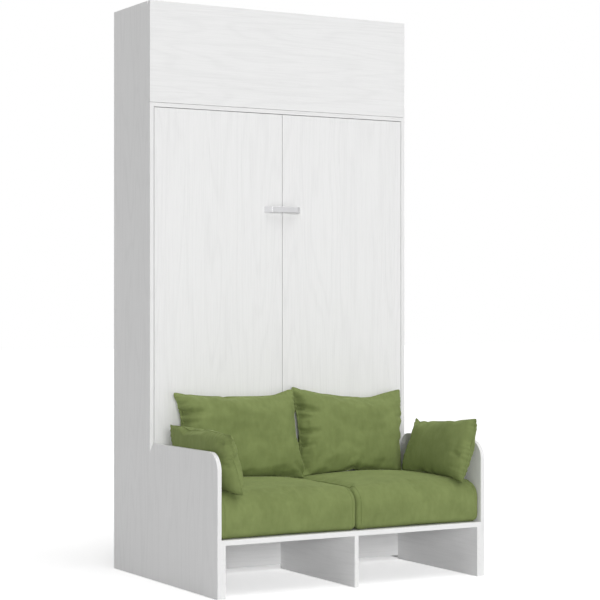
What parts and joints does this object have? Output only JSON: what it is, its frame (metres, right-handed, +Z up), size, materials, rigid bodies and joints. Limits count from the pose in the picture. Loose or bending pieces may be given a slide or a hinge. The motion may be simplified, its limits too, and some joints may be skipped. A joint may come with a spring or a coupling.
{
  "type": "wall bed with sofa",
  "caption": "Upright fold-down wall bed with a fixed two-seat sofa in front, loose cushions and a storage unit with a flap door on top.",
  "frame": {"origin": "on the floor, midway along the width and midway between the wall face and the sofa front", "axes": "+Z up, +Y towards the wall, +X to the right as seen from the front"},
  "size_m": [1.38, 1.07, 2.634],
  "materials": {
    "beech": "lacquered",
    "black_tube": "gloss",
    "chrome": "polished",
    "green_fabric": "soft suede-like weave",
    "mattress_fabric": "knitted",
    "plastic": "matt",
    "rubber": "matt",
    "satin_metal": "satin",
    "steel": "satin",
    "steel_grey": "powder coated",
    "webbing": "woven",
    "white_board": "satin, white ash grain"
  },
  "bodies": {
    "carcass": {"arm_panel_left": "white_board", "arm_panel_right": "white_board", "bed_stops": "rubber", "cabinet_top_board": "white_board", "divider_panel": "white_board", "flap_hinge_fixed": "steel", "flap_strut_brackets": "steel", "gas_spring_brackets": "steel", "headboard_panel": "white_board", "lower_front_panel": "white_board", "lower_rear_rail": "white_board", "pivot_flanges": "steel", "seat_board": "white_board", "seat_cushion_left": "green_fabric", "seat_cushion_right": "green_fabric", "seat_support_left": "white_board", "seat_support_right": "white_board", "side_panel_left": "white_board", "side_panel_right": "white_board", "upper_back_panel": "white_board", "upper_bottom_board": "white_board", "upper_rear_rail": "white_board", "upper_side_left": "white_board", "upper_side_right": "white_board", "upper_top_board": "white_board"},
    "bed": {"front_panel_left": "white_board", "front_panel_right": "white_board", "handle": "satin_metal", "bed_rail_left": "steel_grey", "bed_rail_right": "steel_grey", "bed_cross_rails": "steel_grey", "slats": "beech", "slat_holders": "plastic", "mattress": "mattress_fabric", "mattress_straps": "webbing", "pivot_pins": "steel", "leg_brackets": "steel_grey", "gas_spring_studs": "steel"},
    "flap": {"flap_door": "white_board", "flap_hinge_moving": "steel", "flap_strut_ears": "steel"},
    "leg_left": {"leg_left": "steel_grey", "leg_foot_left": "rubber"},
    "gas_cylinder_left": {"gas_cylinder_left": "black_tube"},
    "gas_rod_left": {"gas_rod_left": "chrome"},
    "flap_cylinder_left": {"flap_cylinder_left": "black_tube"},
    "flap_rod_left": {"flap_rod_left": "chrome"},
    "back_cushion_left": {"back_cushion_left": "green_fabric"},
    "arm_cushion_left": {"arm_cushion_left": "green_fabric"},
    "leg_right": {"leg_right": "steel_grey", "leg_foot_right": "rubber"},
    "gas_cylinder_right": {"gas_cylinder_right": "black_tube"},
    "gas_rod_right": {"gas_rod_right": "chrome"},
    "flap_cylinder_right": {"flap_cylinder_right": "black_tube"},
    "flap_rod_right": {"flap_rod_right": "chrome"},
    "back_cushion_right": {"back_cushion_right": "green_fabric"},
    "arm_cushion_right": {"arm_cushion_right": "green_fabric"}
  },
  "joints": [
    {"name": "bed_fold", "type": "hinge", "parent": "carcass", "child": "bed", "pos_m": [0, 0.185, 0.535], "axis": [1, 0, 0], "range_deg": [0, 90]},
    {"name": "flap_lift", "type": "hinge", "parent": "carcass", "child": "flap", "pos_m": [0, 0.1565, 2.6295], "axis": [-1, 0, 0], "range_deg": [0, 88]},
    {"name": "leg_left_turn", "type": "hinge", "parent": "bed", "child": "leg_left", "pos_m": [-0.644, 0.21, 2.125], "axis": [1, 0, 0], "range_deg": [0, 270]},
    {"name": "gas_cylinder_left_swing", "type": "hinge", "parent": "carcass", "child": "gas_cylinder_left", "pos_m": [-0.643, 0.355, 1.05], "axis": [1, 0, 0], "range_deg": [0, 17.4]},
    {"name": "gas_rod_left_slide", "type": "slide", "parent": "gas_cylinder_left", "child": "gas_rod_left", "axis": [0, -0.2441, -0.9697], "range_m": [-0.21146, 0]},
    {"name": "flap_cylinder_left_swing", "type": "hinge", "parent": "carcass", "child": "flap_cylinder_left", "pos_m": [-0.651, 0.405, 2.4], "axis": [1, 0, 0], "range_deg": [0, 0.4534]},
    {"name": "flap_rod_left_slide", "type": "slide", "parent": "flap_cylinder_left", "child": "flap_rod_left", "axis": [0, -0.8629, 0.5053], "range_m": [0, 0.14304]},
    {"name": "back_cushion_left_lift", "type": "hinge", "parent": "carcass", "child": "back_cushion_left", "pos_m": [-0.3115, -0.575, 0.434], "axis": [1, 0, 0], "range_deg": [0, 180]},
    {"name": "arm_cushion_left_lift", "type": "hinge", "parent": "carcass", "child": "arm_cushion_left", "pos_m": [-0.581, -0.565, 0.363], "axis": [1, 0, 0], "range_deg": [0, 180]},
    {"name": "leg_right_turn", "type": "hinge", "parent": "bed", "child": "leg_right", "pos_m": [0.644, 0.21, 2.125], "axis": [1, 0, 0], "range_deg": [0, 270]},
    {"name": "gas_cylinder_right_swing", "type": "hinge", "parent": "carcass", "child": "gas_cylinder_right", "pos_m": [0.643, 0.355, 1.05], "axis": [1, 0, 0], "range_deg": [0, 17.4]},
    {"name": "gas_rod_right_slide", "type": "slide", "parent": "gas_cylinder_right", "child": "gas_rod_right", "axis": [0, -0.2441, -0.9697], "range_m": [-0.21146, 0]},
    {"name": "flap_cylinder_right_swing", "type": "hinge", "parent": "carcass", "child": "flap_cylinder_right", "pos_m": [0.651, 0.405, 2.4], "axis": [1, 0, 0], "range_deg": [0, 0.4534]},
    {"name": "flap_rod_right_slide", "type": "slide", "parent": "flap_cylinder_right", "child": "flap_rod_right", "axis": [0, -0.8629, 0.5053], "range_m": [0, 0.14304]},
    {"name": "back_cushion_right_lift", "type": "hinge", "parent": "carcass", "child": "back_cushion_right", "pos_m": [0.3115, -0.575, 0.434], "axis": [1, 0, 0], "range_deg": [0, 180]},
    {"name": "arm_cushion_right_lift", "type": "hinge", "parent": "carcass", "child": "arm_cushion_right", "pos_m": [0.581, -0.565, 0.363], "axis": [1, 0, 0], "range_deg": [0, 180]}
  ],
  "couplings": [
    {"joint": "leg_left_turn", "follows": "bed_fold", "ratio": 3},
    {"joint": "gas_cylinder_left_swing", "follows": "bed_fold", "ratio": 0.19334},
    {"joint": "gas_rod_left_slide", "follows": "bed_fold", "m_per_rad": -0.13462},
    {"joint": "flap_cylinder_left_swing", "follows": "flap_lift", "ratio": 0.0051414},
    {"joint": "flap_rod_left_slide", "follows": "flap_lift", "m_per_rad": 0.093127},
    {"joint": "back_cushion_left_lift", "follows": "bed_fold", "ratio": 2},
    {"joint": "arm_cushion_left_lift", "follows": "bed_fold", "ratio": 2},
    {"joint": "leg_right_turn", "follows": "bed_fold", "ratio": 3},
    {"joint": "gas_cylinder_right_swing", "follows": "bed_fold", "ratio": 0.19334},
    {"joint": "gas_rod_right_slide", "follows": "bed_fold", "m_per_rad": -0.13462},
    {"joint": "flap_cylinder_right_swing", "follows": "flap_lift", "ratio": 0.0051414},
    {"joint": "flap_rod_right_slide", "follows": "flap_lift", "m_per_rad": 0.093127},
    {"joint": "back_cushion_right_lift", "follows": "bed_fold", "ratio": 2},
    {"joint": "arm_cushion_right_lift", "follows": "bed_fold", "ratio": 2}
  ]
}
